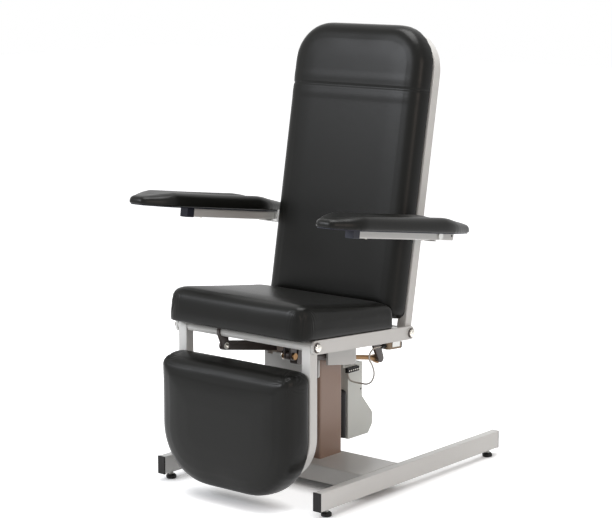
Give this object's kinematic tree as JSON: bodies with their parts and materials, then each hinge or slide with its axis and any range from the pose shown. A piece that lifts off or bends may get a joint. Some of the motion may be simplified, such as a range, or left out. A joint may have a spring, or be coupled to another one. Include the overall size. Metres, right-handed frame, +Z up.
{
  "type": "phlebotomy chair",
  "caption": "Blood-drawing chair on an H base: telescopic powered column, padded seat, reclining padded back linked to a padded leg rest, and padded arms that swing up.",
  "frame": {"origin": "on the floor, under the middle of the chair's outline", "axes": "+Z up, +X towards the sitter's left, the sitter faces -Y"},
  "size_m": [0.798, 0.8969, 1.2579],
  "materials": {
    "frame_paint": "satin baked warm grey paint",
    "black_plastic": "fine matt",
    "foot_rubber": "matt black",
    "bright_steel": "zinc plated, worn bright",
    "satin_aluminium": "satin",
    "white_nylon": "smooth",
    "plywood": "stained dark, matt",
    "vinyl": "fine-grained coated fabric, semi-gloss",
    "dark_steel": "dark satin",
    "brass": "dull bronze",
    "housing_grey": "satin cast housing",
    "beige_plastic": "fine matt",
    "button_plastic": "smooth",
    "cable_sheath": "smooth",
    "navy_plastic": "fine matt"
  },
  "bodies": {
    "base": {"runner_left": "frame_paint", "runner_right": "frame_paint", "runner_end_caps": "black_plastic", "crossbeam": "frame_paint", "column_outer": "frame_paint", "column_glides": "black_plastic", "lift_rod": "bright_steel"},
    "foot_front_left": {"foot_front_left": "foot_rubber"},
    "foot_front_right": {"foot_front_right": "foot_rubber"},
    "foot_rear_left": {"foot_rear_left": "foot_rubber"},
    "foot_rear_right": {"foot_rear_right": "foot_rubber"},
    "carriage": {"column_inner": "frame_paint", "carriage": "frame_paint", "lift_actuator_tube": "satin_aluminium", "lift_gear_head": "housing_grey", "lift_motor_housing": "housing_grey", "lift_motor_cover": "housing_grey", "lift_motor": "dark_steel", "terminal_block": "black_plastic", "seat_subframe": "frame_paint", "side_rail_left": "frame_paint", "side_rail_right": "frame_paint", "seat_board": "plywood", "seat_cushion": "vinyl", "pivot_bolts": "bright_steel", "pivot_washers": "white_nylon", "recline_anchor": "dark_steel", "recline_anchor_pin": "brass", "hand_control": "beige_plastic", "hand_control_clip": "bright_steel", "hand_control_boot": "black_plastic", "control_cable": "cable_sheath"},
    "button_up": {"button_up": "button_plastic"},
    "button_down": {"button_down": "button_plastic"},
    "button_recline": {"button_recline": "button_plastic"},
    "button_raise": {"button_raise": "button_plastic"},
    "leg_rest": {"leg_frame": "frame_paint", "leg_cross_tube": "frame_paint", "leg_board": "plywood", "leg_cushion": "vinyl", "link_pin_front": "bright_steel"},
    "drive_link": {"drive_link": "dark_steel"},
    "back": {"back_frame": "frame_paint", "back_board": "plywood", "back_cushion": "vinyl", "back_pivot_shaft": "frame_paint", "lever_pins": "bright_steel", "arm_bracket_left": "frame_paint", "arm_bracket_right": "frame_paint", "arm_pivot_bolts": "bright_steel"},
    "arm_left": {"arm_tube_left": "frame_paint", "arm_plug_left": "navy_plastic", "arm_board_left": "navy_plastic", "arm_pad_left": "vinyl"},
    "arm_right": {"arm_tube_right": "frame_paint", "arm_plug_right": "navy_plastic", "arm_board_right": "navy_plastic", "arm_pad_right": "vinyl"},
    "recline_actuator": {"recline_actuator": "black_plastic"},
    "recline_rod": {"recline_rod": "brass"}
  },
  "joints": [
    {"name": "foot_front_left_turn", "type": "hinge", "parent": "base", "child": "foot_front_left", "pos_m": [0.2793, -0.3385, 0.02], "axis": [0, 0, 1], "continuous": true},
    {"name": "foot_front_right_turn", "type": "hinge", "parent": "base", "child": "foot_front_right", "pos_m": [-0.2793, -0.3385, 0.02], "axis": [0, 0, 1], "continuous": true},
    {"name": "foot_rear_left_turn", "type": "hinge", "parent": "base", "child": "foot_rear_left", "pos_m": [0.2793, 0.4085, 0.02], "axis": [0, 0, 1], "continuous": true},
    {"name": "foot_rear_right_turn", "type": "hinge", "parent": "base", "child": "foot_rear_right", "pos_m": [-0.2793, 0.4085, 0.02], "axis": [0, 0, 1], "continuous": true},
    {"name": "seat_lift", "type": "slide", "parent": "base", "child": "carriage", "axis": [0, 0, 1], "range_m": [0, 0.18]},
    {"name": "button_up_press", "type": "slide", "parent": "carriage", "child": "button_up", "axis": [0, 0.0661, 0.9978], "range_m": [0, 0.001], "stiffness_N_per_m": 400},
    {"name": "button_down_press", "type": "slide", "parent": "carriage", "child": "button_down", "axis": [0, 0.0661, 0.9978], "range_m": [0, 0.001], "stiffness_N_per_m": 400},
    {"name": "button_recline_press", "type": "slide", "parent": "carriage", "child": "button_recline", "axis": [0, 0.0661, 0.9978], "range_m": [0, 0.001], "stiffness_N_per_m": 400},
    {"name": "button_raise_press", "type": "slide", "parent": "carriage", "child": "button_raise", "axis": [0, 0.0661, 0.9978], "range_m": [0, 0.001], "stiffness_N_per_m": 400},
    {"name": "back_recline", "type": "hinge", "parent": "carriage", "child": "back", "pos_m": [0, 0.0739, 0.41768], "axis": [-1, 0, 0], "range_deg": [0, 36]},
    {"name": "leg_rest_raise", "type": "hinge", "parent": "carriage", "child": "leg_rest", "pos_m": [0, -0.3355, 0.4448], "axis": [-1, 0, 0], "range_deg": [0, 72]},
    {"name": "drive_link_front", "type": "hinge", "parent": "leg_rest", "child": "drive_link", "pos_m": [-0.094, -0.32365, 0.40347], "axis": [-1, 0, 0], "range_deg": [-71, 0]},
    {"name": "recline_actuator_pivot", "type": "hinge", "parent": "carriage", "child": "recline_actuator", "pos_m": [0.094, -0.265, 0.391], "axis": [-1, 0, 0], "range_deg": [0, 4]},
    {"name": "recline_rod_slide", "type": "slide", "parent": "recline_actuator", "child": "recline_rod", "axis": [0, 0.9826, -0.1857], "range_m": [-0.063, 0]},
    {"name": "arm_left_raise", "type": "hinge", "parent": "back", "child": "arm_left", "pos_m": [0.292, 0.12271, 0.68892], "axis": [-1, 0, 0], "range_deg": [0, 85]},
    {"name": "arm_right_raise", "type": "hinge", "parent": "back", "child": "arm_right", "pos_m": [-0.292, 0.12271, 0.68892], "axis": [-1, 0, 0], "range_deg": [0, 85]}
  ],
  "couplings": [
    {"joint": "leg_rest_raise", "follows": "back_recline", "ratio": 2},
    {"joint": "drive_link_front", "follows": "back_recline", "ratio": -1.96},
    {"joint": "recline_actuator_pivot", "follows": "back_recline", "ratio": 0.09},
    {"joint": "recline_rod_slide", "follows": "back_recline", "m_per_rad": -0.099}
  ]
}
